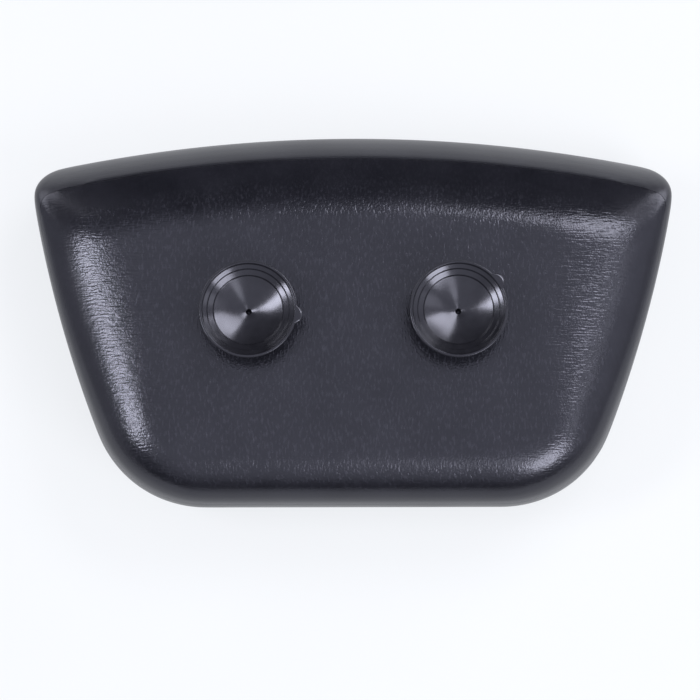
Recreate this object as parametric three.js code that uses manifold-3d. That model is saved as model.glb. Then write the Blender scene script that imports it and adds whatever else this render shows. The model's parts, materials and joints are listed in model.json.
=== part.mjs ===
// Bath pillow: a moulded foam cushion in two skins, with two suction cups that swivel in moulded-in sockets.
// Millimetres. X runs to the picture's right, Y to its top and Z up from the table through the cups.
import * as THREE from "three";
import { mergeVertices } from "three/addons/utils/BufferGeometryUtils.js";
import Module from "manifold-3d";

// The pillow, lying on its face.
const pillowWidth = 300;
const pillowHeight = 177;
const pillowThickness = 62;
const restCut = 0.5; // the crown of the front is flat where it rests
const skinWall = 1.8;
const fitGap = 0.3; // between pieces that touch

// Its outline: a bowed top, bowed sides that lean in, and a straight bottom.
const topBow = 678;
const sideBow = 573;
const widestShare = 0.32; // level of the full width, as a share of the height above the middle
const bottomWidth = 207; // between the sides, where they would meet the bottom edge
const topCorner = 19;
const bottomCorner = 53;

// The back rolls from a flat land to the rim. Along the top it bends, runs down to the seam, and a steeper shelf goes
// on from there to a rim that has dropped towards the front.
const topRoll = 48;
const topBend = 16; // of the roll, the width over which the back bends
const topShelf = 14.3; // of the roll, the width outside the seam
const shelfStraightness = 0.6; // how straight the shelf is: 1 is straight and 0 is a quarter of an ellipse
const sideRoll = 54;
const bottomRoll = 24;
const narrowFrom = 20; // level from which the sides' roll narrows to the bottom's
const narrowTo = -80;
const hipSoft = 1; // how tightly the top's roll meets the sides' rolls, near the land: 1 adds them up
const hipSharp = 4; // and down at the seam, where the deeper of the two counts
const landTopCorner = 8;
const landBottomCorner = 15;
const seamDepthTop = 13.5; // the seam's depth below the back face, at the two ends of its sloping plane
const seamDepthBottom = 20;
const rimBelowSeam = 4;
const topRimDrop = 21.5;

// A plain side runs from the rim down to the front, which is a crown with sections squarer than an ellipse.
const frontDepthTop = 42; // where the front starts, below the back face, at the two ends of its sloping plane
const frontDepthBottom = 28;
const crownLevel = 3;
const crownPower = 2.5;

// The suction cups, measured from the back face.
const cupSpacing = 95;
const cupLevel = -3;
const lipRadius = 22.2;
const lipHeight = 14.5;
const lipLand = 0.9;
const lipThickness = 1.1;
const lipBevel = 0.3;
const dishDepth = 8;
const bandDepth = 2.9;
const stepRadius = 16;
const stepHeight = 0.6;
const centreHoleRadius = 1.3;
const centreHoleDepth = 2;
const skirtRootRadius = 8.5;
const skirtRootHeight = 5;
const collarRadius = 5.6;
const collarHeight = 1.6;
const neckRadius = 3.4;
const headRadius = 6.3;
const headLength = 6.2;
const headTipRadius = 2.6;
const tabReach = 2.4;
const tabRadius = 4;
const leftTabAngle = -7;
const rightTabAngle = 36;

// The sockets that hold the cups.
const turnGap = 0.4; // around the parts of a cup that turn in its socket
const socketRadius = 8.6;
const mouthDepth = 2.2;
const flangeRadius = 13;
const flangeThickness = 1.5;
const capThickness = 1.5;
const capBoss = 0.8;

// Points along each stretch of half the outline, rings along each roll, and turns of a lathe.
const stretchSteps = { top: 6, topCorner: 7, side: 6, bottomCorner: 6, bottom: 4 };
const rollRings = 5;
const crownRings = 5;
const turnSteps = 32;
const seatSteps = 4;

const back = pillowThickness;
const seatRadius = neckRadius + fitGap;
const headTop = -mouthDepth - turnGap;
const headBottom = headTop - headLength;
const pocketRadius = headRadius + turnGap;
const pocketBottom = headBottom - turnGap - capBoss;
const capTop = pocketBottom - fitGap;
const capBottom = capTop - capThickness;
const reach = 2 * pillowWidth;

const wasm = await Module();
wasm.setup();

const skinMaterial = new THREE.MeshStandardMaterial({ color: 0x2c2d31, roughness: 0.5 });
const foamMaterial = new THREE.MeshStandardMaterial({ color: 0x55565a, roughness: 0.95 });
const cupMaterial = new THREE.MeshStandardMaterial({ color: 0x141416, roughness: 0.2 });
const socketMaterial = new THREE.MeshStandardMaterial({ color: 0x1c1c1f, roughness: 0.6 });

function solid(geometry) {
  const plain = new THREE.BufferGeometry();
  plain.setAttribute("position", geometry.getAttribute("position"));
  plain.setIndex(geometry.getIndex());
  const merged = mergeVertices(plain, 1e-4);
  const corners = merged.getIndex().array;
  const triangles = [];
  for (let i = 0; i < corners.length; i += 3) {
    const [a, b, c] = [corners[i], corners[i + 1], corners[i + 2]];
    if (a !== b && b !== c && c !== a) triangles.push(a, b, c);
  }
  return new wasm.Manifold(
    new wasm.Mesh({
      numProp: 3,
      vertProperties: merged.getAttribute("position").array,
      triVerts: Uint32Array.from(triangles),
    }),
  );
}

function meshOf(name, form, material) {
  const { vertProperties, triVerts } = form.getMesh();
  const geometry = new THREE.BufferGeometry();
  geometry.setAttribute("position", new THREE.BufferAttribute(Float32Array.from(vertProperties), 3));
  geometry.setIndex(new THREE.BufferAttribute(Uint32Array.from(triVerts), 1));
  geometry.computeVertexNormals();
  const mesh = new THREE.Mesh(geometry, material.clone());
  mesh.name = name;
  return mesh;
}

// A turned solid about Z, from a profile of [radius, height] pairs that runs from its lower end to its upper end.
function turned(profile) {
  const points = profile.map(([radius, height]) => new THREE.Vector2(radius, height));
  return solid(new THREE.LatheGeometry(points, turnSteps).rotateX(Math.PI / 2));
}

// A solid that fills everything on one side of the sloping seam, and half of the gap in it.
function beyondSeam(side) {
  const slope = Math.atan2(seamDepthBottom - seamDepthTop, pillowHeight);
  const middle = back - (seamDepthTop + seamDepthBottom) / 2;
  const block = new THREE.BoxGeometry(reach, reach, reach);
  block.translate(0, 0, (side * (reach - fitGap)) / 2);
  block.rotateX(slope);
  block.translate(0, 0, middle);
  return solid(block);
}

function belowTable() {
  return solid(new THREE.BoxGeometry(reach, reach, reach).translate(0, 0, -reach / 2));
}

// The centre of the top edge's circle.
function topCentre() {
  return new THREE.Vector2(0, pillowHeight / 2 - topBow);
}

// The centre of the circle through the two ends of the right side.
function sideCentre() {
  const upper = new THREE.Vector2(pillowWidth / 2, widestShare * pillowHeight);
  const lower = new THREE.Vector2(bottomWidth / 2, -pillowHeight / 2);
  const chord = lower.clone().sub(upper);
  const inward = new THREE.Vector2(chord.y, -chord.x).normalize();
  const height = Math.sqrt(sideBow ** 2 - chord.lengthSq() / 4);
  return upper.add(lower).multiplyScalar(0.5).addScaledVector(inward, height);
}

// Where two circles cross on the right.
function crossing(first, firstRadius, second, secondRadius) {
  const line = second.clone().sub(first);
  const distance = line.length();
  const along = (firstRadius ** 2 - secondRadius ** 2 + distance ** 2) / (2 * distance);
  const across = Math.sqrt(firstRadius ** 2 - along ** 2);
  const unit = line.normalize();
  const foot = first.clone().addScaledVector(unit, along);
  const aside = new THREE.Vector2(-unit.y, unit.x).multiplyScalar(across);
  const one = foot.clone().add(aside);
  const other = foot.clone().sub(aside);
  return one.x > other.x ? one : other;
}

// The centre of the bottom corner's arc, for an outline whose side and bottom are set in.
function lowerCentre(sideInset, bottomInset, corner) {
  const side = sideCentre();
  const y = -pillowHeight / 2 + bottomInset + corner;
  const x = side.x + Math.sqrt((sideBow - sideInset - corner) ** 2 - (y - side.y) ** 2);
  return new THREE.Vector2(x, y);
}

// The outline as points, set in from the pillow's own by the given amounts.
function outline(topInset, sideInset, bottomInset, upperCorner, lowerCorner) {
  const topRadius = topBow - topInset;
  const sideRadius = sideBow - sideInset;
  const top = topCentre();
  const side = sideCentre();
  const upper = crossing(top, topRadius - upperCorner, side, sideRadius - upperCorner);
  const lower = lowerCentre(sideInset, bottomInset, lowerCorner);
  const topEnd = upper.clone().sub(top).angle();
  const sideStart = upper.clone().sub(side).angle() - 2 * Math.PI;
  const sideEnd = lower.clone().sub(side).angle() - 2 * Math.PI;
  const half = [];
  const addArc = (centre, radius, from, to, steps) => {
    for (let i = 0; i < steps; i++) {
      const angle = from + ((to - from) * i) / steps;
      const normal = new THREE.Vector2(Math.cos(angle), Math.sin(angle));
      half.push(centre.clone().addScaledVector(normal, radius));
    }
  };
  addArc(top, topRadius, Math.PI / 2, topEnd, stretchSteps.top);
  addArc(upper, upperCorner, topEnd, sideStart, stretchSteps.topCorner);
  addArc(side, sideRadius, sideStart, sideEnd, stretchSteps.side);
  addArc(lower, lowerCorner, sideEnd, -Math.PI / 2, stretchSteps.bottomCorner);
  for (let i = 0; i <= stretchSteps.bottom; i++) {
    half.push(new THREE.Vector2(lower.x * (1 - i / stretchSteps.bottom), lower.y - lowerCorner));
  }
  const mirrored = half.slice(1, -1).reverse();
  const left = mirrored.map((point) => new THREE.Vector2(-point.x, point.y));
  return half.concat(left).reverse();
}

// How far the back falls at a depth inside an edge: a quarter of an ellipse.
function rollFall(depth, width, fall) {
  const out = THREE.MathUtils.clamp(1 - depth / width, 0, 1);
  return fall * (1 - Math.sqrt(1 - out ** 2));
}

// How far the back falls at a depth inside the top edge: a bend, a straight run to the seam, and the shelf.
function topFall(depth, seamDepth, inset) {
  const slope = seamDepth / (topRoll - topShelf - topBend / 2);
  const run = Math.max(topRoll - Math.max(depth, topShelf), 0);
  const fall = run < topBend ? (slope * run ** 2) / (2 * topBend) : slope * (run - topBend / 2);
  const out = THREE.MathUtils.clamp((topShelf - depth) / (topShelf - inset), 0, 1);
  const bulge = THREE.MathUtils.lerp(1 - Math.sqrt(1 - out ** 2), out, shelfStraightness);
  return fall + (rimBelowSeam + topRimDrop - inset) * bulge;
}

// The width of the roll around the sides and bottom at a level.
function rollWidth(y) {
  return THREE.MathUtils.lerp(bottomRoll, sideRoll, THREE.MathUtils.smoothstep(y, narrowTo, narrowFrom));
}

// The depth of a point inside the sides and bottom.
function depthAround(point) {
  const side = sideCentre();
  const lower = lowerCentre(0, 0, bottomCorner);
  const fromLower = point.clone().sub(lower);
  const angle = Math.atan2(fromLower.y, fromLower.x);
  if (fromLower.x <= 0) return point.y + pillowHeight / 2;
  if (angle > Math.atan2(lower.y - side.y, lower.x - side.x)) return sideBow - point.distanceTo(side);
  return bottomCorner - fromLower.length();
}

// A depth below the back face on a plane that slopes between its values at the bottom and the top.
function slopingDepth(y, bottomDepth, topDepth) {
  return THREE.MathUtils.lerp(bottomDepth, topDepth, y / pillowHeight + 0.5);
}

// The height of the back, set in by a wall, over a point of the plan.
function backHeight(plan, inset) {
  const point = new THREE.Vector2(Math.abs(plan.x), plan.y);
  const seamDepth = slopingDepth(point.y, seamDepthBottom, seamDepthTop);
  const overTop = topFall(topBow - point.distanceTo(topCentre()), seamDepth, inset);
  const width = rollWidth(point.y) - inset;
  const overSide = rollFall(depthAround(point) - inset, width, seamDepth + rimBelowSeam - inset);
  const share = Math.min((overTop + overSide) / (2 * seamDepth), 1);
  const power = THREE.MathUtils.lerp(hipSoft, hipSharp, share);
  return back - inset - (overTop ** power + overSide ** power) ** (1 / power);
}

// The pillow's form, set in by a wall: rings from the middle of the back, over the rim, to the crown of the front.
function pillowForm(inset) {
  const rim = outline(inset, inset, inset, topCorner - inset, bottomCorner - inset);
  const land = outline(topRoll, sideRoll, bottomRoll, landTopCorner, landBottomCorner);
  const crown = new THREE.Vector2(0, crownLevel);
  const frontHeight = inset - restCut;
  const points = [];
  const addPoint = (plan, height) => points.push(plan.x, plan.y, height);
  for (let ring = 0; ring <= rollRings; ring++) {
    const out = Math.sin((Math.PI / 2) * (ring / rollRings));
    rim.forEach((at, i) => {
      const plan = land[i].clone().lerp(at, out);
      addPoint(plan, backHeight(plan, inset));
    });
  }
  for (let ring = 0; ring < crownRings; ring++) {
    const turn = (Math.PI / 2) * (ring / crownRings);
    const out = Math.cos(turn) ** (2 / crownPower);
    const down = Math.sin(turn) ** (2 / crownPower);
    rim.forEach((at) => {
      const start = back - slopingDepth(at.y, frontDepthBottom, frontDepthTop);
      addPoint(crown.clone().lerp(at, out), THREE.MathUtils.lerp(start, frontHeight, down));
    });
  }
  const count = rim.length;
  const rings = rollRings + 1 + crownRings;
  const triangles = [];
  for (let ring = 0; ring < rings - 1; ring++) {
    for (let i = 0; i < count; i++) {
      const next = (i + 1) % count;
      const a = ring * count + i;
      const b = ring * count + next;
      const c = a + count;
      const d = b + count;
      triangles.push(a, c, b, b, c, d);
    }
  }
  const backMiddle = rings * count;
  const frontMiddle = backMiddle + 1;
  const landMiddle = new THREE.Vector2(0, 0);
  addPoint(landMiddle, backHeight(landMiddle, inset));
  addPoint(crown, frontHeight);
  for (let i = 0; i < count; i++) {
    const next = (i + 1) % count;
    triangles.push(backMiddle, i, next);
    triangles.push(frontMiddle, (rings - 1) * count + next, (rings - 1) * count + i);
  }
  const geometry = new THREE.BufferGeometry();
  geometry.setAttribute("position", new THREE.Float32BufferAttribute(points, 3));
  geometry.setIndex(triangles);
  return solid(geometry);
}

// Places a form that is modelled on a cup's own axis.
function atCup(form, side) {
  return form.translate([(side * cupSpacing) / 2, cupLevel, back]);
}

function socketForm() {
  return turned([
    [pocketRadius, pocketBottom],
    [flangeRadius, pocketBottom],
    [flangeRadius, pocketBottom + flangeThickness],
    [socketRadius, pocketBottom + flangeThickness],
    [socketRadius, 0],
    [neckRadius + turnGap, 0],
    [neckRadius + turnGap, -mouthDepth],
    [pocketRadius, -mouthDepth],
    [pocketRadius, pocketBottom],
  ]);
}

function capForm() {
  return turned([
    [0, capBottom],
    [socketRadius, capBottom],
    [socketRadius, capTop],
    [pocketRadius - fitGap, capTop],
    [pocketRadius - fitGap, capTop + fitGap + capBoss],
    [0, capTop + fitGap + capBoss],
  ]);
}

// The room that a socket and its cap need in the foam and the skin.
function socketRoom() {
  return turned([
    [0, capBottom - fitGap],
    [socketRadius + fitGap, capBottom - fitGap],
    [socketRadius + fitGap, pocketBottom - fitGap],
    [flangeRadius + fitGap, pocketBottom - fitGap],
    [flangeRadius + fitGap, pocketBottom + flangeThickness + fitGap],
    [socketRadius + fitGap, pocketBottom + flangeThickness + fitGap],
    [socketRadius + fitGap, skinWall],
    [0, skinWall],
  ]);
}

// A quarter of a ball's outline, from its equator or the given height up to its pole.
function ballProfile(radius, lowest) {
  const start = Math.asin(lowest / radius);
  const profile = [];
  for (let i = 0; i <= seatSteps; i++) {
    const angle = start + ((Math.PI / 2 - start) * i) / seatSteps;
    profile.push([i === seatSteps ? 0 : radius * Math.cos(angle), radius * Math.sin(angle)]);
  }
  return profile;
}

function stemForm() {
  return turned([
    [0, headBottom],
    [headTipRadius, headBottom],
    [headRadius, headTop - headLength / 3],
    [headRadius, headTop],
    [neckRadius, headTop],
    ...ballProfile(neckRadius, 0),
  ]);
}

// The tab of a cup's lip, a thin lobe that a thumb lifts.
function tabForm(angle) {
  const root = lipRadius - lipLand / 2;
  const middle = lipRadius + tabReach - tabRadius;
  const crossX = (middle ** 2 + root ** 2 - tabRadius ** 2) / (2 * middle);
  const crossY = Math.sqrt(root ** 2 - crossX ** 2);
  const lobe = Math.atan2(crossY, crossX - middle);
  const rim = Math.atan2(crossY, crossX);
  const shape = new THREE.Shape();
  shape.absarc(middle, 0, tabRadius, -lobe, lobe, false);
  shape.absarc(0, 0, root, rim, -rim, true);
  const thickness = lipThickness - 2 * lipBevel;
  const tab = new THREE.ExtrudeGeometry(shape, { depth: thickness, bevelEnabled: false, curveSegments: 8 });
  tab.translate(0, 0, lipHeight - lipThickness + lipBevel / 2);
  tab.rotateZ(THREE.MathUtils.degToRad(angle));
  return solid(tab);
}

function skirtForm(tabAngle) {
  const dishBottom = lipHeight - dishDepth;
  const bandBottom = lipHeight - bandDepth;
  const landInner = lipRadius - lipBevel - lipLand;
  const dish = turned([
    ...ballProfile(seatRadius, collarHeight).reverse(),
    [collarRadius, collarHeight],
    [collarRadius, (collarHeight + skirtRootHeight) / 2],
    [skirtRootRadius, skirtRootHeight],
    [stepRadius, bandBottom - 2 * lipThickness - stepHeight],
    [lipRadius - lipThickness, lipHeight - 1.5 * lipThickness],
    [lipRadius, lipHeight - lipThickness],
    [lipRadius, lipHeight - lipBevel],
    [lipRadius - lipBevel, lipHeight],
    [landInner, lipHeight],
    [landInner - lipBevel, lipHeight - 2 * lipBevel],
    [stepRadius + stepHeight, bandBottom],
    [stepRadius, bandBottom - stepHeight],
    [centreHoleRadius, dishBottom],
    [centreHoleRadius, dishBottom - centreHoleDepth],
    [0, dishBottom - centreHoleDepth],
  ]);
  return dish.add(tabForm(tabAngle));
}

function buildPillow() {
  const outer = pillowForm(0).subtract(belowTable());
  const shell = outer.subtract(pillowForm(skinWall));
  const rooms = atCup(socketRoom(), -1).add(atCup(socketRoom(), 1));
  const pillow = new THREE.Group();
  pillow.name = "pillow";
  pillow.add(meshOf("front_skin", shell.subtract(beyondSeam(1)), skinMaterial));
  pillow.add(meshOf("back_skin", shell.subtract(beyondSeam(-1)).subtract(rooms), skinMaterial));
  pillow.add(meshOf("foam_core", pillowForm(skinWall + fitGap).subtract(rooms), foamMaterial));
  return pillow;
}

function buildSocket(prefix, side) {
  const socket = new THREE.Group();
  socket.name = `${prefix}_socket_set`;
  socket.add(meshOf(`${prefix}_cup_socket`, atCup(socketForm(), side), socketMaterial));
  socket.add(meshOf(`${prefix}_socket_cap`, atCup(capForm(), side), socketMaterial));
  return socket;
}

function buildCup(prefix, side, tabAngle) {
  const cup = new THREE.Group();
  cup.name = `${prefix}_cup`;
  cup.add(meshOf(`${prefix}_cup_stem`, atCup(stemForm(), side), cupMaterial));
  cup.add(meshOf(`${prefix}_cup_skirt`, atCup(skirtForm(tabAngle), side), cupMaterial));
  return cup;
}

const group = new THREE.Group();
group.name = "bath_pillow";
const pillow = buildPillow();
pillow.add(buildSocket("left", -1));
pillow.add(buildSocket("right", 1));
group.add(pillow);
group.add(buildCup("left", -1, leftTabAngle));
group.add(buildCup("right", 1, rightTabAngle));

export default group;
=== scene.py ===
# %% [markdown]
# # A bath pillow with two suction cups
# The pillow is soft polyurethane foam. The mould gives it a grained skin like leather, in two halves that
# meet at a fine seam. It lies on its face, and two glossy suction cups stand on its back. The CAD frame
# already gives every place and every joint. This lesson dresses that frame: smooth skins, turned cups,
# and finishes made of nodes.

# %% Load the frame
import json
import math

import bmesh
import bpy
from mathutils import Matrix, Quaternion, Vector


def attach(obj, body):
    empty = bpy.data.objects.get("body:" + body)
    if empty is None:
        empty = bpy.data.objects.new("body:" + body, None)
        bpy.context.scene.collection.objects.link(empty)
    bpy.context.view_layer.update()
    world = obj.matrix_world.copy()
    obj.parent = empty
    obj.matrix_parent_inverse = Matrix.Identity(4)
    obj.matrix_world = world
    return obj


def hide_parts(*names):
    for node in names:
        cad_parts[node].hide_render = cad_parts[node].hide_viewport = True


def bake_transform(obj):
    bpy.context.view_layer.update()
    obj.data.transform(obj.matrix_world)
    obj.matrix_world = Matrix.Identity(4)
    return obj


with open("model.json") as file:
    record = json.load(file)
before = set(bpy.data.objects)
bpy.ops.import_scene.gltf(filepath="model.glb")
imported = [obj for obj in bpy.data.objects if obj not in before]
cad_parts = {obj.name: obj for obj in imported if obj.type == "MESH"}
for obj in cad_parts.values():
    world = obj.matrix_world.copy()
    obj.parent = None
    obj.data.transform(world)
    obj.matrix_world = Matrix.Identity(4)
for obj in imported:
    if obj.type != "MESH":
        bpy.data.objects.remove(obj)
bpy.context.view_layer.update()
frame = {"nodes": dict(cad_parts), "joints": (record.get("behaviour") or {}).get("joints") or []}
MM = 0.001

# %% [markdown]
# ## The outline
# Seen from above, the pillow has a gently bowed top, bowed sides that lean in, and a straight bottom
# edge. Each stretch is an arc of a circle, so the outline is laid out as a draughtsman does it, with a
# centre and a radius for each arc. Complex numbers stand for points of the plan here, because turning and
# measuring them takes one symbol.

# %% Arc centres of the outline
WIDTH = 300 * MM
HEIGHT = 177 * MM
TOP_BOW = 678 * MM
SIDE_BOW = 573 * MM
WIDEST_SHARE = 0.32
BOTTOM_WIDTH = 207 * MM
TOP_CENTRE = complex(0, HEIGHT / 2 - TOP_BOW)


def centre_of_side():
    upper = complex(WIDTH / 2, WIDEST_SHARE * HEIGHT)
    lower = complex(BOTTOM_WIDTH / 2, -HEIGHT / 2)
    chord = lower - upper
    inward = chord * -1j / abs(chord)
    return (upper + lower) / 2 + inward * math.sqrt(SIDE_BOW ** 2 - abs(chord) ** 2 / 4)


SIDE_CENTRE = centre_of_side()


def crossing(first, first_radius, second, second_radius):
    apart = abs(second - first)
    unit = (second - first) / apart
    along = (first_radius ** 2 - second_radius ** 2 + apart ** 2) / (2 * apart)
    across = math.sqrt(first_radius ** 2 - along ** 2)
    crossings = [first + unit * complex(along, way * across) for way in (-1, 1)]
    return max(crossings, key=lambda point: point.real)


def centre_of_lower_corner(side_inset, bottom_inset, corner):
    y = -HEIGHT / 2 + bottom_inset + corner
    reach = math.sqrt((SIDE_BOW - side_inset - corner) ** 2 - (y - SIDE_CENTRE.imag) ** 2)
    return complex(SIDE_CENTRE.real + reach, y)


print("side arc's centre in mm:", SIDE_CENTRE / MM)

# %% Points along the outline
STEPS = {"top": 44, "top corner": 26, "side": 48, "bottom corner": 44, "bottom": 30}


def arc(centre, radius, start, end, steps):
    angles = (start + (end - start) * step / steps for step in range(steps))
    return [centre + radius * complex(math.cos(angle), math.sin(angle)) for angle in angles]


def angle_of(point):
    return math.atan2(point.imag, point.real)


def outline(top_inset, side_inset, bottom_inset, upper_corner, lower_corner):
    top_radius = TOP_BOW - top_inset
    side_radius = SIDE_BOW - side_inset
    upper = crossing(TOP_CENTRE, top_radius - upper_corner, SIDE_CENTRE, side_radius - upper_corner)
    lower = centre_of_lower_corner(side_inset, bottom_inset, lower_corner)
    top_end = angle_of(upper - TOP_CENTRE)
    side_start = angle_of(upper - SIDE_CENTRE)
    side_end = angle_of(lower - SIDE_CENTRE)
    half = arc(TOP_CENTRE, top_radius, math.pi / 2, top_end, STEPS["top"])
    half += arc(upper, upper_corner, top_end, side_start, STEPS["top corner"])
    half += arc(SIDE_CENTRE, side_radius, side_start, side_end, STEPS["side"])
    half += arc(lower, lower_corner, side_end, -math.pi / 2, STEPS["bottom corner"])
    steps = STEPS["bottom"]
    bottom = lower.imag - lower_corner
    half += [complex(lower.real * (1 - step / steps), bottom) for step in range(steps + 1)]
    left = [-point.conjugate() for point in half]
    return left[:-1] + half[:0:-1]


TOP_CORNER = 17.5 * MM
BOTTOM_CORNER = 53 * MM
print("points round the outline:", len(outline(0, 0, 0, TOP_CORNER, BOTTOM_CORNER)))

# %% [markdown]
# ## The height of the back
# The back is a broad land that rolls down to the rim. The roll is wide along the sides and narrows
# towards the bottom edge, where it is tight. A sculptor would push it into clay. Here it is a quarter of
# an ellipse. Along the top the land bends and runs straight down to the seam, and a steeper shelf goes on
# from there. Where two rolls meet, their falls add up near the land and the deeper one counts at the
# seam, which leaves the soft hip that the corners show.

# %% Rolls of the back
BACK = 62 * MM
TOP_ROLL = 48 * MM
TOP_BEND = 16 * MM
TOP_SHELF = 14.3 * MM
SHELF_STRAIGHTNESS = 0.6
SIDE_ROLL = 54 * MM
BOTTOM_ROLL = 24 * MM
NARROW_FROM = 20 * MM
NARROW_TO = -80 * MM
HIP_SOFT = 1
HIP_SHARP = 4
SEAM_DEPTH_TOP = 13.5 * MM
SEAM_DEPTH_BOTTOM = 20 * MM
RIM_BELOW_SEAM = 4 * MM
TOP_RIM_DROP = 21.5 * MM
BACK_CROWN = 0.8 * MM
NEAR_TOP = 80j * MM


def between(low, high, share):
    return low + (high - low) * share


def as_share(value):
    return min(max(value, 0), 1)


def eased(share):
    return share ** 2 * (3 - 2 * share)


def sloping(y, bottom, top):
    return between(bottom, top, y / HEIGHT + 0.5)


def roll_fall(depth, width, fall):
    out = as_share(1 - depth / width)
    return fall * (1 - math.sqrt(1 - out ** 2))


def roll_width(y):
    share = as_share((NARROW_FROM - y) / (NARROW_FROM - NARROW_TO))
    return between(SIDE_ROLL, BOTTOM_ROLL, eased(share))


def depth_around(point):
    lower = centre_of_lower_corner(0, 0, BOTTOM_CORNER)
    from_lower = point - lower
    if from_lower.real <= 0:
        return point.imag + HEIGHT / 2
    if angle_of(from_lower) > angle_of(lower - SIDE_CENTRE):
        return SIDE_BOW - abs(point - SIDE_CENTRE)
    return BOTTOM_CORNER - abs(from_lower)


def top_fall(depth, seam_depth, inset):
    slope = seam_depth / (TOP_ROLL - TOP_SHELF - TOP_BEND / 2)
    run = max(TOP_ROLL - max(depth, TOP_SHELF), 0)
    bent = slope * run ** 2 / (2 * TOP_BEND)
    fall = bent if run < TOP_BEND else slope * (run - TOP_BEND / 2)
    out = as_share((TOP_SHELF - depth) / (TOP_SHELF - inset))
    bulge = between(1 - math.sqrt(1 - out ** 2), out, SHELF_STRAIGHTNESS)
    return fall + (RIM_BELOW_SEAM + TOP_RIM_DROP - inset) * bulge


def back_height(plan, inset):
    point = complex(abs(plan.real), plan.imag)
    seam_depth = sloping(point.imag, SEAM_DEPTH_BOTTOM, SEAM_DEPTH_TOP)
    over_top = top_fall(TOP_BOW - abs(point - TOP_CENTRE), seam_depth, inset)
    roll = roll_width(point.imag)
    over_side = roll_fall(depth_around(point) - inset, roll - inset, seam_depth + RIM_BELOW_SEAM - inset)
    power = between(HIP_SOFT, HIP_SHARP, as_share((over_top + over_side) / (2 * seam_depth)))
    return BACK - inset - (over_top ** power + over_side ** power) ** (1 / power)


two_heights = [back_height(0j, 0) / MM, back_height(NEAR_TOP, 0) / MM]
print("back at its middle and near the top edge, mm:", two_heights)

# %% [markdown]
# ## The moulded form
# Cloth simulation is the usual way to a cushion, but this one isn't sewn and stuffed. Its skin takes the
# exact shape of a mould, so it is made the way a mould maker lofts it: a ring of points is extruded ring
# by ring, and each ring is moved to its place, from the middle of the back, over the rim, to the crown of
# the front. The back is a little crowned too, because only the front, where the pillow rests, is flat.
# Foam never fills a sharp edge, so the rings near the rim are smoothed at the end. That rounds the top
# corners too, so they start a little tighter than in the CAD model.

# %% Loft the form
LAND_TOP_CORNER = 8 * MM
LAND_BOTTOM_CORNER = 15 * MM
FRONT_DEPTH_TOP = 42 * MM
FRONT_DEPTH_BOTTOM = 28 * MM
CROWN_MIDDLE = complex(0, 3 * MM)
CROWN_POWER = 2.5
REST_CUT = 0.5 * MM
LAND_RINGS = 16
ROLL_RINGS = 30
SIDE_RINGS = 5
FRONT_RINGS = 34
RIM = LAND_RINGS + ROLL_RINGS
SOFT_REACHES = (17, 14, 11, 8, 5)
SOFT_ROUNDS = 7
SOFT_SHARE = 0.5
START_RADIUS = 1 * MM


def grow_ring(bm, ring, places):
    edges = [bm.edges.get(pair) for pair in zip(ring, ring[1:] + ring[:1])]
    grown = bmesh.ops.extrude_edge_only(bm, edges=edges)["geom"]
    fresh = {item for item in grown if isinstance(item, bmesh.types.BMVert)}
    ring = [next(e.other_vert(v) for e in v.link_edges if e.other_vert(v) in fresh) for v in ring]
    for vertex, spot in zip(ring, places):
        vertex.co = spot
    return ring


def place(plan, height):
    return Vector((plan.real, plan.imag, height))


def back_rings(inset, land, rim):
    for step in range(1, LAND_RINGS + 1):
        out = step / LAND_RINGS
        yield [place(point * out, BACK - inset - BACK_CROWN * eased(out)) for point in land]
    for step in range(1, ROLL_RINGS + 1):
        out = math.sin(math.pi / 2 * step / ROLL_RINGS)
        plans = [between(start, end, out) for start, end in zip(land, rim)]
        yield [place(plan, back_height(plan, inset) - BACK_CROWN * (1 - out)) for plan in plans]


def front_rings(inset, rim):
    starts = [BACK - sloping(point.imag, FRONT_DEPTH_BOTTOM, FRONT_DEPTH_TOP) for point in rim]
    rims = [back_height(point, inset) for point in rim]
    for step in range(1, SIDE_RINGS + 1):
        heights = [between(high, low, step / SIDE_RINGS) for high, low in zip(rims, starts)]
        yield [place(point, height) for point, height in zip(rim, heights)]
    for step in range(1, FRONT_RINGS):
        turn = math.pi / 2 * step / FRONT_RINGS
        out = math.cos(turn) ** (2 / CROWN_POWER)
        down = math.sin(turn) ** (2 / CROWN_POWER)
        heights = [between(start, inset - REST_CUT, down) for start in starts]
        yield [place(between(CROWN_MIDDLE, point, out), height) for point, height in zip(rim, heights)]


def soften_rim(bm, rings):
    for reach in SOFT_REACHES:
        points = [vertex for ring in rings[RIM - reach:RIM + reach // 2] for vertex in ring]
        for _ in range(SOFT_ROUNDS):
            bmesh.ops.smooth_vert(
                bm, verts=points, factor=SOFT_SHARE, use_axis_x=True, use_axis_y=True, use_axis_z=True
            )


def moulded_form(inset):
    rim = outline(inset, inset, inset, TOP_CORNER - inset, BOTTOM_CORNER - inset)
    land = outline(TOP_ROLL, SIDE_ROLL, BOTTOM_ROLL, LAND_TOP_CORNER, LAND_BOTTOM_CORNER)
    bm = bmesh.new()
    first = bmesh.ops.create_circle(bm, segments=len(rim), radius=START_RADIUS)["verts"]
    bmesh.ops.translate(bm, vec=Vector((0, 0, BACK - inset)), verts=first)
    rings = [first]
    for places in (*back_rings(inset, land, rim), *front_rings(inset, rim)):
        rings.append(grow_ring(bm, rings[-1], places))
    soften_rim(bm, rings)
    bmesh.ops.pointmerge(bm, verts=first, merge_co=place(0j, BACK - inset))
    bmesh.ops.pointmerge(bm, verts=rings[-1], merge_co=place(CROWN_MIDDLE, inset - REST_CUT))
    bmesh.ops.recalc_face_normals(bm, faces=bm.faces[:])
    return bm


form = moulded_form(0)
print("moulded form:", len(form.verts), "points,", len(form.faces), "faces")

# %% [markdown]
# The crown of the front presses flat on the table. A cut with a plane leaves an edge loop where the flat
# starts, and the points below the table are then lifted onto it.

# %% Press the front flat
PRESS_SLACK = 0.02 * MM


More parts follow.
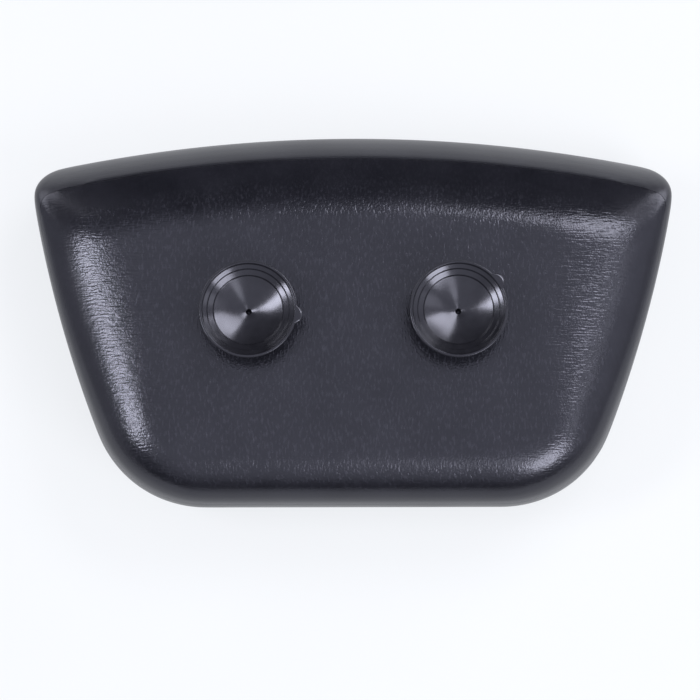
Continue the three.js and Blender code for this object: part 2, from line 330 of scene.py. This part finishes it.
def everything(bm):
    return bm.verts[:] + bm.edges[:] + bm.faces[:]


bmesh.ops.bisect_plane(
    form, geom=everything(form), dist=PRESS_SLACK, plane_co=(0, 0, 0), plane_no=(0, 0, 1)
)
pressed = [vertex for vertex in form.verts if vertex.co.z < 0]
for vertex in pressed:
    vertex.co.z = 0
print("points pressed onto the table:", len(pressed))

# %% [markdown]
# ## The two skins
# The skin is one closed form until the mould's parting plane splits it. The plane slopes, so the seam
# hides at the sides and the bottom and comes inside the outline along the top. A few cuts beside the seam
# make room for a very shallow groove, a last one on each side of it parts the halves, Solidify gives each
# half its wall, and Boolean opens the two holes for the cups' sockets. The walls' edges are then marked
# sharp, so that smooth shading stops at the seam.

# %% Sink a groove along the seam
SEAM_GAP = 0.1 * MM
SEAM_GROOVE = 0.02 * MM
SEAM_REACH = 0.6 * MM
SEAM_CUTS = (-1, -0.6, 0.6, 1)
CUT_SLACK = 0.01 * MM
SEAM_SLOPE = math.atan2(SEAM_DEPTH_BOTTOM - SEAM_DEPTH_TOP, HEIGHT)
SEAM_NORMAL = Vector((0, -math.sin(SEAM_SLOPE), math.cos(SEAM_SLOPE)))
SEAM_MIDDLE = Vector((0, 0, BACK - (SEAM_DEPTH_TOP + SEAM_DEPTH_BOTTOM) / 2))


def cut_loop(bm, offset):
    level = SEAM_MIDDLE + SEAM_NORMAL * offset
    bmesh.ops.bisect_plane(bm, geom=everything(bm), dist=CUT_SLACK, plane_co=level, plane_no=SEAM_NORMAL)


for share in SEAM_CUTS:
    cut_loop(form, share * SEAM_REACH)
form.normal_update()
sunk = 0
for vertex in form.verts:
    off = abs((vertex.co - SEAM_MIDDLE).dot(SEAM_NORMAL)) / SEAM_REACH
    if off < 1:
        vertex.co -= vertex.normal * SEAM_GROOVE * (1 - off) ** 2
        sunk += 1
print("points sunk into the groove:", sunk)

# %% Split the form at the seam
def half_of_form(side):
    half = form.copy()
    bmesh.ops.bisect_plane(
        half,
        geom=everything(half),
        dist=CUT_SLACK,
        plane_co=SEAM_MIDDLE + SEAM_NORMAL * side * SEAM_GAP / 2,
        plane_no=SEAM_NORMAL,
        clear_inner=side > 0,
        clear_outer=side < 0,
    )
    return half


def piece_from(bm, name):
    mesh = bpy.data.meshes.new(name)
    bm.to_mesh(mesh)
    bm.free()
    mesh.shade_smooth()
    piece = bpy.data.objects.new(name, mesh)
    bpy.context.scene.collection.objects.link(piece)
    return piece


back_skin = piece_from(half_of_form(1), "moulded_back_skin")
front_skin = piece_from(half_of_form(-1), "moulded_front_skin")
print("back and front halves:", len(back_skin.data.polygons), len(front_skin.data.polygons), "faces")

# %% Give the skins their wall and the socket holes
SKIN_WALL = 1.8 * MM
WALL_ANGLE = math.radians(40)
FIT_GAP = 0.3 * MM
SOCKET_RADIUS = 8.6 * MM
HOLE_BOTTOM = -6 * MM
HOLE_TOP = 4 * MM
HOLE_STEPS = 64
CUP_PLACES = {joint["name"].split("_")[0]: Vector(joint["pos_m"]) for joint in frame["joints"]}


def socket_cutter(radius, bottom, top):
    bm = bmesh.new()
    for middle in CUP_PLACES.values():
        drum = Matrix.Translation(middle + Vector((0, 0, (bottom + top) / 2)))
        bmesh.ops.create_cone(
            bm,
            cap_ends=True,
            segments=HOLE_STEPS,
            radius1=radius,
            radius2=radius,
            depth=top - bottom,
            matrix=drum,
        )
    return piece_from(bm, "socket_cutter")


def add_cut(piece, cutter):
    cut = piece.modifiers.new("socket holes", "BOOLEAN")
    cut.operation = "DIFFERENCE"
    cut.object = cutter


def apply_modifiers(piece):
    evaluated = piece.evaluated_get(bpy.context.evaluated_depsgraph_get())
    shaped = bpy.data.meshes.new_from_object(evaluated)
    piece.modifiers.clear()
    piece.data = shaped


def add_wall(piece):
    wall = piece.modifiers.new("wall", "SOLIDIFY")
    wall.thickness = SKIN_WALL
    wall.offset = -1


hole_cutter = socket_cutter(SOCKET_RADIUS + FIT_GAP, HOLE_BOTTOM, HOLE_TOP)
add_wall(back_skin)
add_cut(back_skin, hole_cutter)
add_wall(front_skin)
for skin in (back_skin, front_skin):
    apply_modifiers(skin)
    skin.data.set_sharp_from_angle(angle=WALL_ANGLE)
bpy.data.objects.remove(hole_cutter)
form.free()
for skin, node in ((back_skin, "back_skin"), (front_skin, "front_skin")):
    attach(skin, "pillow")
    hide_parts(node)
    print(skin.name, len(skin.data.polygons), "faces")

# %% [markdown]
# ## The foam core
# The foam fills the skins, and nobody sees it unless the pillow is cut open. It is the same loft, set in
# by the wall, with stepped pockets where the sockets sit.

# %% Loft the core and cut its pockets
FLANGE_RADIUS = 13 * MM
FLANGE_BOTTOM = -10 * MM
FLANGE_TOP = -8.5 * MM
CAP_BOTTOM = -11.8 * MM
foam_core = piece_from(moulded_form(SKIN_WALL + FIT_GAP), "foam_filling")
well_cutter = socket_cutter(SOCKET_RADIUS + FIT_GAP, CAP_BOTTOM - FIT_GAP, HOLE_TOP)
flange_cutter = socket_cutter(FLANGE_RADIUS + FIT_GAP, FLANGE_BOTTOM - FIT_GAP, FLANGE_TOP + FIT_GAP)
for cutter in (well_cutter, flange_cutter):
    add_cut(foam_core, cutter)
apply_modifiers(foam_core)
for cutter in (well_cutter, flange_cutter):
    bpy.data.objects.remove(cutter)
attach(foam_core, "pillow")
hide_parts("foam_core")
print("foam core:", len(foam_core.data.polygons), "faces")

# %% [markdown]
# ## The suction cups
# Each cup is one moulding of soft PVC: a mushroom head that clicks into the socket, a neck, and a thin
# dish with three small steps and a flat lip that seals on the wall. A turned shape is drawn as half of
# its section and spun round its axis. Bevels then round the rings that are sharp, and the lip is pulled
# out over a few degrees into the release tab.

# %% Section of a cup
# Each point is a radius and a height above the pillow's back, in mm.
HEAD = [(0, -8.8), (2.6, -8.8), (6.3, -4.67), (6.3, -2.6), (3.4, -2.6)]
NECK = [(3.4, 0.7), (5.6, 1.6), (5.6, 3.3)]
UNDERSIDE = [(8.5, 5.0), (16.0, 8.8), (21.1, 12.85), (22.2, 13.4)]
LIP = [(22.2, 14.2), (21.9, 14.5), (21.1, 14.5), (20.9, 14.3)]
STEPS_OF_DISH = [(20.5, 13.75), (18.75, 13.0), (18.35, 12.4), (16.05, 11.45), (15.6, 10.8)]
DISH = [(10.0, 8.96), (4.2, 7.03), (1.3, 6.5), (1.3, 4.2), (0, 2.2)]
CUP_SECTION = HEAD + NECK + UNDERSIDE + LIP + STEPS_OF_DISH + DISH
SPIN_STEPS = 240
EDGE_ROUND = 0.12 * MM
EDGE_STEPS = 3
MERGE_DISTANCE = 0.001 * MM
SHARP_ANGLE = math.radians(14)


def turned_cup():
    bm = bmesh.new()
    section = [bm.verts.new((radius * MM, 0, height * MM)) for radius, height in CUP_SECTION]
    edges = [bm.edges.new(pair) for pair in zip(section, section[1:])]
    bmesh.ops.spin(
        bm,
        geom=section + edges,
        cent=(0, 0, 0),
        axis=(0, 0, 1),
        angle=2 * math.pi,
        steps=SPIN_STEPS,
        use_merge=True,
    )
    bmesh.ops.remove_doubles(bm, verts=bm.verts[:], dist=MERGE_DISTANCE)
    bmesh.ops.recalc_face_normals(bm, faces=bm.faces[:])
    sharp = [edge for edge in bm.edges if edge.is_manifold and edge.calc_face_angle() > SHARP_ANGLE]
    bmesh.ops.bevel(
        bm,
        geom=sharp,
        offset=EDGE_ROUND,
        offset_type="OFFSET",
        segments=EDGE_STEPS,
        profile=0.5,
        affect="EDGES",
        material=-1,
    )
    return bm


print("points of the cup's section:", len(CUP_SECTION))

# %% Pull out the tabs and place the cups
LIP_RADIUS = LIP[0][0] * MM
LIP_ROOT = LIP[2][0] * MM
LIP_UNDERSIDE = 12.6 * MM
TAB_RADIUS = 4 * MM
TAB_REACH = 2.4 * MM
TAB_ANGLES = {"left": math.radians(-7), "right": math.radians(36)}
TAB_MIDDLE = LIP_RADIUS + TAB_REACH - TAB_RADIUS
TAB_SPREAD = math.radians(30)


def tab_reach(angle):
    aside = TAB_MIDDLE * math.sin(angle)
    if abs(angle) > TAB_SPREAD or abs(aside) > TAB_RADIUS:
        return 0
    edge = TAB_MIDDLE * math.cos(angle) + math.sqrt(TAB_RADIUS ** 2 - aside ** 2)
    return max(edge - LIP_RADIUS, 0)


def pull_tab(bm, tab_angle):
    for vertex in bm.verts:
        radius = math.hypot(vertex.co.x, vertex.co.y)
        if radius > LIP_ROOT and vertex.co.z > LIP_UNDERSIDE:
            angle = math.atan2(vertex.co.y, vertex.co.x) - tab_angle
            share = (radius - LIP_ROOT) / (LIP_RADIUS - LIP_ROOT)
            scale = 1 + tab_reach(angle) * share / radius
            vertex.co.x *= scale
            vertex.co.y *= scale


cups = {}
for side, middle in CUP_PLACES.items():
    cup_form = turned_cup()
    pull_tab(cup_form, TAB_ANGLES[side])
    bmesh.ops.translate(cup_form, vec=middle, verts=cup_form.verts[:])
    cup = piece_from(cup_form, side + "_moulded_cup")
    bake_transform(cup)
    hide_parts(side + "_cup_stem", side + "_cup_skirt")
    cups[side] = cup
    print(cup.name, len(cup.data.polygons), "faces")

# %% [markdown]
# ## Shared effects as node groups
# Two effects turn up in several finishes: a fine grain that stands up from the surface, and a faint
# mottle that keeps a colour and its gloss from being perfectly even. Each is built once as a node group
# and used with its own values.

# %% Pebble grain
def add_node(tree, kind, inputs=None, **settings):
    node = tree.nodes.new(kind)
    for name, value in settings.items():
        setattr(node, name, value)
    for name, value in (inputs or {}).items():
        node.inputs[name].default_value = value
    return node


def new_group(name, inputs, outputs):
    group = bpy.data.node_groups.new(name, "ShaderNodeTree")
    for socket, value in inputs.items():
        kind = "NodeSocketVector" if value is None else "NodeSocketFloat"
        made = group.interface.new_socket(socket, in_out="INPUT", socket_type=kind)
        if value is not None:
            made.default_value = value
    for socket in outputs:
        group.interface.new_socket(socket, in_out="OUTPUT", socket_type="NodeSocketFloat")
    return group, group.nodes.new("NodeGroupInput"), group.nodes.new("NodeGroupOutput")


def math_node(tree, operation, first, second=0.0):
    node = add_node(tree, "ShaderNodeMath", operation=operation)
    for socket, value in zip(node.inputs, (first, second)):
        if isinstance(value, bpy.types.NodeSocket):
            tree.links.new(value, socket)
        else:
            socket.default_value = value
    return node.outputs[0]


def make_pebble_group():
    group, given, result = new_group("pebble grain", {"Vector": None, "Size": 1.0}, ["Height"])
    link = group.links.new
    scale = math_node(group, "DIVIDE", 1 / MM, given.outputs["Size"])
    cells = add_node(group, "ShaderNodeTexVoronoi", feature="SMOOTH_F1", inputs={"Smoothness": 0.6})
    fine = add_node(group, "ShaderNodeTexNoise", inputs={"Detail": 1.0, "Roughness": 0.5})
    link(given.outputs["Vector"], cells.inputs["Vector"])
    link(given.outputs["Vector"], fine.inputs["Vector"])
    link(scale, cells.inputs["Scale"])
    link(scale, fine.inputs["Scale"])
    pebble = math_node(group, "SUBTRACT", 1.0, cells.outputs["Distance"])
    link(math_node(group, "ADD", pebble, fine.outputs[0]), result.inputs["Height"])
    return group


pebble_group = make_pebble_group()
print("nodes of the pebble grain:", len(pebble_group.nodes))

# %% Mottle
def make_mottle_group():
    inputs = {"Vector": None, "Size": 30.0, "Low": 0.4, "High": 0.5}
    group, given, result = new_group("mottle", inputs, ["Value"])
    link = group.links.new
    cloud = add_node(group, "ShaderNodeTexNoise", inputs={"Detail": 4.0, "Roughness": 0.55})
    link(given.outputs["Vector"], cloud.inputs["Vector"])
    link(math_node(group, "DIVIDE", 1 / MM, given.outputs["Size"]), cloud.inputs["Scale"])
    spread = add_node(group, "ShaderNodeMapRange", inputs={"From Min": 0.3, "From Max": 0.7})
    link(cloud.outputs[0], spread.inputs["Value"])
    link(given.outputs["Low"], spread.inputs["To Min"])
    link(given.outputs["High"], spread.inputs["To Max"])
    link(spread.outputs[0], result.inputs["Value"])
    return group


mottle_group = make_mottle_group()
print("node groups:", [group.name for group in bpy.data.node_groups])

# %% [markdown]
# ## Hidden finishes
# The sockets and their caps keep their CAD shapes and get a matte black plastic with a fine spark-eroded
# grain. The foam is a mid grey with open cells. Both come first because they are the simplest: one mottle
# for the colour, one for the gloss, and the pebbles. A flat colour would do where nobody looks, but the
# pieces may be shown taken apart.

# %% Socket plastic and foam
MIX_LOW_COLOUR = 6
MIX_HIGH_COLOUR = 7
MIX_COLOUR = 2
ROUGHNESS_SPREAD = 0.06


def use_group(tree, group, **values):
    node = add_node(tree, "ShaderNodeGroup", node_tree=group)
    for name, value in values.items():
        node.inputs[name].default_value = value
    return node


def new_material(name):
    material = bpy.data.materials.new(name)
    material.use_nodes = True
    tree = material.node_tree
    position = add_node(tree, "ShaderNodeTexCoord").outputs["Object"]
    return material, tree, tree.nodes["Principled BSDF"], position


def colour_between(tree, share, low, high):
    ramp = add_node(tree, "ShaderNodeMix", data_type="RGBA")
    ramp.inputs[MIX_LOW_COLOUR].default_value = (*low, 1)
    ramp.inputs[MIX_HIGH_COLOUR].default_value = (*high, 1)
    tree.links.new(share, ramp.inputs[0])
    return ramp.outputs[MIX_COLOUR]


def add_bump(tree, shader, height, strength, distance):
    bump = add_node(tree, "ShaderNodeBump", inputs={"Strength": strength, "Distance": distance})
    tree.links.new(height, bump.inputs["Height"])
    tree.links.new(bump.outputs["Normal"], shader.inputs["Normal"])


def make_grained(name, low, high, roughness, grain_size, strength, distance):
    material, tree, shader, position = new_material(name)
    link = tree.links.new
    tint = use_group(tree, mottle_group, Size=8.0, Low=0.0, High=1.0)
    link(position, tint.inputs["Vector"])
    link(colour_between(tree, tint.outputs["Value"], low, high), shader.inputs["Base Color"])
    smoothest = roughness - ROUGHNESS_SPREAD
    dull = use_group(tree, mottle_group, Size=5.0, Low=smoothest, High=roughness + ROUGHNESS_SPREAD)
    link(position, dull.inputs["Vector"])
    link(dull.outputs["Value"], shader.inputs["Roughness"])
    pebble = use_group(tree, pebble_group, Size=grain_size)
    link(position, pebble.inputs["Vector"])
    add_bump(tree, shader, pebble.outputs["Height"], strength, distance)
    return material


socket_finish = make_grained(
    "socket_plastic",
    low=(0.009, 0.009, 0.010),
    high=(0.014, 0.014, 0.015),
    roughness=0.6,
    grain_size=0.35,
    strength=0.3,
    distance=0.05 * MM,
)
foam_finish = make_grained(
    "open_cell_foam",
    low=(0.045, 0.045, 0.05),
    high=(0.075, 0.075, 0.08),
    roughness=0.9,
    grain_size=0.7,
    strength=0.8,
    distance=0.4 * MM,
)
foam_core.data.materials.clear()
foam_core.data.materials.append(foam_finish)
for side in CUP_PLACES:
    for node in (side + "_cup_socket", side + "_socket_cap"):
        cad_node = frame["nodes"][node]
        cad_node.data.materials.clear()
        cad_node.data.materials.append(socket_finish)
print("carried-over CAD nodes dressed:", 2 * len(CUP_PLACES))

# %% [markdown]
# ## The skin's finish
# The skin is charcoal with a cool sheen, and the front is duller than the back. Close up it has fine
# pebbles, with short pale marks that run up and down in the middle and fine level lines towards the
# sides. Image textures could hold that, but nodes stay sharp at any size. Two stretched noises make the
# marks, the place across the width mixes them, and the height keeps the edges smooth. The upright marks
# also make the base colour paler on the land. That paleness is a painted glint where the grain would catch
# the lights, and the rolls and slopes below stay darker as painted shade. A faint mottle adds real tone.

# %% Skin material
MIX_LOW_VALUE = 2
MIX_HIGH_VALUE = 3
COOL = (0.83, 0.84, 1.0, 1)
UPRIGHT_STRETCH = (1000, 340, 700)
LEVEL_STRETCH = (170, 1250, 800)
LEVEL_FROM = 60 * MM
LEVEL_FULL = 105 * MM
MARK_SHARE = 1.8
LAND_FROM = 53 * MM
LAND_FULL = 58 * MM
EDGE_GRAIN_AND_GLINT = 0.25
GRAIN_DEPTH = 0.15 * MM
DEEP_CHARCOAL = (0.0052, 0.0053, 0.0077)
# The pale end of the skin's colour, reached by real uneven tone and by painted glints from the upright
# marks.
GLINT_AND_TONE_CHARCOAL = (0.018, 0.0182, 0.0245)


def stretched_noise(tree, position, stretch, start, end):
    mapping = add_node(tree, "ShaderNodeMapping", inputs={"Scale": stretch})
    noise = add_node(tree, "ShaderNodeTexNoise", inputs={"Scale": 1.0, "Detail": 1.0, "Roughness": 0.5})
    peaks = add_node(tree, "ShaderNodeMapRange", inputs={"From Min": start, "From Max": end})
    tree.links.new(position, mapping.inputs["Vector"])
    tree.links.new(mapping.outputs[0], noise.inputs["Vector"])
    tree.links.new(noise.outputs[0], peaks.inputs["Value"])
    return peaks.outputs[0]


def rise(tree, value, start, end, lowest=0.0, highest=1.0):
    ramp = add_node(tree, "ShaderNodeMapRange", interpolation_type="SMOOTHSTEP")
    ramp.inputs["From Min"].default_value = start
    ramp.inputs["From Max"].default_value = end
    ramp.inputs["To Min"].default_value = lowest
    ramp.inputs["To Max"].default_value = highest
    tree.links.new(value, ramp.inputs["Value"])
    return ramp.outputs[0]


def make_skin(name, smoothest, dullest):
    material, tree, shader, position = new_material(name)
    link = tree.links.new
    gloss = use_group(tree, mottle_group, Size=45.0, Low=smoothest, High=dullest)
    link(position, gloss.inputs["Vector"])
    link(gloss.outputs["Value"], shader.inputs["Roughness"])
    shader.inputs["Specular Tint"].default_value = COOL
    pebble = use_group(tree, pebble_group, Size=0.8)
    link(position, pebble.inputs["Vector"])
    upright = stretched_noise(tree, position, UPRIGHT_STRETCH, start=0.50, end=0.90)
    level = stretched_noise(tree, position, LEVEL_STRETCH, start=0.30, end=0.80)
    spot = add_node(tree, "ShaderNodeSeparateXYZ")
    link(position, spot.inputs[0])
    marks = add_node(tree, "ShaderNodeMix", data_type="FLOAT")
    aside = math_node(tree, "ABSOLUTE", spot.outputs["X"])
    link(rise(tree, aside, LEVEL_FROM, LEVEL_FULL), marks.inputs[0])
    link(upright, marks.inputs[MIX_LOW_VALUE])
    link(level, marks.inputs[MIX_HIGH_VALUE])
    grain = math_node(tree, "MULTIPLY_ADD", marks.outputs[0], MARK_SHARE)
    link(pebble.outputs["Height"], grain.node.inputs[2])
    on_top = rise(tree, spot.outputs["Z"], LAND_FROM, LAND_FULL, lowest=EDGE_GRAIN_AND_GLINT)
    add_bump(tree, shader, math_node(tree, "MULTIPLY", grain, on_top), strength=0.32, distance=GRAIN_DEPTH)
    tint = use_group(tree, mottle_group, Size=18.0, Low=0.0, High=0.25)
    link(position, tint.inputs["Vector"])
    # Painted glints and shade: the upright marks, kept mostly to the land by the height mask, paint the
    # base colour paler where the grain would catch the lights, so the rolls and slopes stay darker as
    # painted shade. The mottle adds real uneven tone.
    painted_glints_and_tone = math_node(tree, "MULTIPLY_ADD", upright, on_top)
    link(tint.outputs["Value"], painted_glints_and_tone.node.inputs[2])
    link(colour_between(tree, painted_glints_and_tone, DEEP_CHARCOAL, GLINT_AND_TONE_CHARCOAL), shader.inputs["Base Color"])
    return material


skin_finishes = {
    back_skin: make_skin("charcoal_back_skin", smoothest=0.19, dullest=0.25),
    front_skin: make_skin("charcoal_front_skin", smoothest=0.31, dullest=0.37),
}
for skin, finish in skin_finishes.items():
    skin.data.materials.clear()
    skin.data.materials.append(finish)
    print(finish.name, len(finish.node_tree.nodes), "nodes")

# %% [markdown]
# ## The cups' finish
# Soft PVC from a turned mould is black and glossy, with very fine rings left by the lathe. The rings
# depend only on the distance from the cup's own axis, so a Mapping node moves the pattern's origin onto
# that axis.

# %% Cup materials
RINGS_PER_METRE = 2200.0
RING_DEPTH = 0.02 * MM
CUP_BLACK = (0.006, 0.006, 0.008)
CUP_BLACK_WORN = (0.010, 0.010, 0.013)


def make_cup_finish(name, middle):
    material, tree, shader, position = new_material(name)
    link = tree.links.new
    onto_axis = {"Location": (-middle.x, -middle.y, 0), "Scale": (1, 1, 0)}
    centred = add_node(tree, "ShaderNodeMapping", inputs=onto_axis)
    link(position, centred.inputs["Vector"])
    radius = add_node(tree, "ShaderNodeVectorMath", operation="LENGTH")
    link(centred.outputs[0], radius.inputs[0])
    fineness = {"Scale": RINGS_PER_METRE, "Detail": 2.0}
    rings = add_node(tree, "ShaderNodeTexNoise", noise_dimensions="1D", inputs=fineness)
    link(radius.outputs["Value"], rings.inputs["W"])
    add_bump(tree, shader, rings.outputs[0], strength=0.25, distance=RING_DEPTH)
    gloss = use_group(tree, mottle_group, Size=9.0, Low=0.14, High=0.22)
    link(position, gloss.inputs["Vector"])
    link(gloss.outputs["Value"], shader.inputs["Roughness"])
    shader.inputs["Specular Tint"].default_value = COOL
    tint = use_group(tree, mottle_group, Size=6.0, Low=0.0, High=1.0)
    link(position, tint.inputs["Vector"])
    colour = colour_between(tree, tint.outputs["Value"], CUP_BLACK, CUP_BLACK_WORN)
    link(colour, shader.inputs["Base Color"])
    return material


for side, cup in cups.items():
    cup.data.materials.clear()
    cup.data.materials.append(make_cup_finish(side + "_cup_gloss", CUP_PLACES[side]))
print("cup finishes:", [cup.data.materials[0].name for cup in cups.values()])

# %% [markdown]
# ## Floor, light and camera
# The pillow lies on a white light table, which keeps its shadows faint. Soft boxes light it from the
# left, the right and in front, two low ones catch its upper corners, and a pale sky glows overhead and at
# the sides. Nothing lights it from the top of the picture, which is why the slope along the top edge is
# so dark.

# %% Floor
FLOOR_REACH = 3
FLOOR_PALE = (0.095, 0.097, 0.10)
FLOOR_PALEST = (0.105, 0.107, 0.11)
FLOOR_LIGHT = (0.95, 0.97, 1.0, 1)
FLOOR_BRIGHTNESS = 0.76
FLOOR_ROUGHNESS = 0.7


def make_floor():
    bm = bmesh.new()
    bmesh.ops.create_grid(bm, x_segments=1, y_segments=1, size=FLOOR_REACH)
    floor = piece_from(bm, "floor")
    material, tree, shader, position = new_material("white_table")
    tint = use_group(tree, mottle_group, Size=400.0, Low=0.0, High=1.0)
    tree.links.new(position, tint.inputs["Vector"])
    white = colour_between(tree, tint.outputs["Value"], FLOOR_PALE, FLOOR_PALEST)
    tree.links.new(white, shader.inputs["Base Color"])
    shader.inputs["Roughness"].default_value = FLOOR_ROUGHNESS
    shader.inputs["Emission Color"].default_value = FLOOR_LIGHT
    shader.inputs["Emission Strength"].default_value = FLOOR_BRIGHTNESS
    floor.data.materials.append(material)
    return floor


print("floor's corners in m:", [tuple(corner.co) for corner in make_floor().data.vertices])

# %% Soft boxes
STAGE_MIDDLE = Vector((0, 0, 40 * MM))
BOX_DISTANCE = 1.4
BOX_COLOUR = (0.98, 0.98, 1.0)


def from_angles(azimuth, zenith):
    flat = math.sin(math.radians(zenith))
    turn = math.radians(azimuth)
    return Vector((flat * math.cos(turn), flat * math.sin(turn), math.cos(math.radians(zenith))))


def add_soft_box(name, azimuth, zenith, across, along, brightness, turn=0):
    light = bpy.data.lights.new(name, "AREA")
    light.shape = "RECTANGLE"
    light.size = across
    light.size_y = along
    light.energy = brightness * math.pi * across * along
    light.color = BOX_COLOUR
    lamp = bpy.data.objects.new(name, light)
    way = from_angles(azimuth, zenith)
    lamp.location = STAGE_MIDDLE + way * BOX_DISTANCE
    spin = Quaternion((0, 0, 1), math.radians(turn))
    lamp.rotation_euler = (way.to_track_quat("Z", "Y") @ spin).to_euler()
    bpy.context.scene.collection.objects.link(lamp)


# Each box has its azimuth and zenith in degrees, its two sides in metres and its brightness.
add_soft_box("left box", 185, 42, 0.26, 0.66, 19.5, turn=48)
add_soft_box("upper right box", 47, 40, 0.80, 0.36, 10.5)
add_soft_box("right box", 357, 42, 0.35, 0.35, 1.6)
add_soft_box("lower right box", 313, 48, 0.55, 0.55, 12.0)
add_soft_box("front box", 297, 29, 0.24, 0.44, 3.5)
add_soft_box("low right box", 42, 74, 0.70, 0.55, 5.5)
add_soft_box("low left box", 136, 75, 0.85, 0.50, 3.5)

# %% Sky
SKY_MIDDLE = from_angles(-50, 17)
SKY_FADE = (0.30, 0.93)
SIDE_FADE = (0.60, 0.95)
SIDE_GLOW = 0.6
SKY_DARK = (0.014, 0.014, 0.016)
SKY_PALE = (0.97, 0.98, 1.06)


def make_sky():
    sky = bpy.data.worlds.new("studio sky")
    bpy.context.scene.world = sky
    sky.use_nodes = True
    tree = sky.node_tree
    way = add_node(tree, "ShaderNodeTexCoord").outputs["Generated"]
    lean = add_node(tree, "ShaderNodeVectorMath", operation="DOT_PRODUCT")
    lean.inputs[1].default_value = SKY_MIDDLE
    tree.links.new(way, lean.inputs[0])
    overhead = rise(tree, lean.outputs["Value"], *SKY_FADE)
    across = add_node(tree, "ShaderNodeSeparateXYZ")
    tree.links.new(way, across.inputs[0])
    sideways = math_node(tree, "ABSOLUTE", across.outputs["X"])
    sides = rise(tree, sideways, *SIDE_FADE, highest=SIDE_GLOW)
    glow = colour_between(tree, math_node(tree, "ADD", overhead, sides), SKY_DARK, SKY_PALE)
    tree.links.new(glow, tree.nodes["Background"].inputs["Color"])
    return sky


print("sky:", make_sky().name)

# %% [markdown]
# The photograph was taken from almost straight above. The camera leans nine degrees towards the bottom of
# the picture, so it sees a little of the bottom edge and less of the top. A long lens from over a metre
# keeps the outline true.

# %% Camera
CAMERA_LEAN = 9
CAMERA_TURN = -0.12
CAMERA_DISTANCE = 1.2
SENSOR_WIDTH = 36
FRAME_WIDTH = 322.9 * MM
AIM = Vector((-1.6 * MM, -16.9 * MM, 45 * MM))


def add_camera():
    lens = bpy.data.cameras.new("photo camera")
    lens.sensor_width = SENSOR_WIDTH
    lens.lens = SENSOR_WIDTH * CAMERA_DISTANCE / FRAME_WIDTH
    camera = bpy.data.objects.new("photo camera", lens)
    camera.location = AIM + from_angles(CAMERA_TURN - 90, CAMERA_LEAN) * CAMERA_DISTANCE
    camera.rotation_euler = (math.radians(CAMERA_LEAN), 0, math.radians(CAMERA_TURN))
    bpy.context.scene.collection.objects.link(camera)
    bpy.context.scene.camera = camera
    bpy.context.scene.view_settings.view_transform = "Standard"
    return camera


print("lens in mm:", round(add_camera().data.lens, 1))
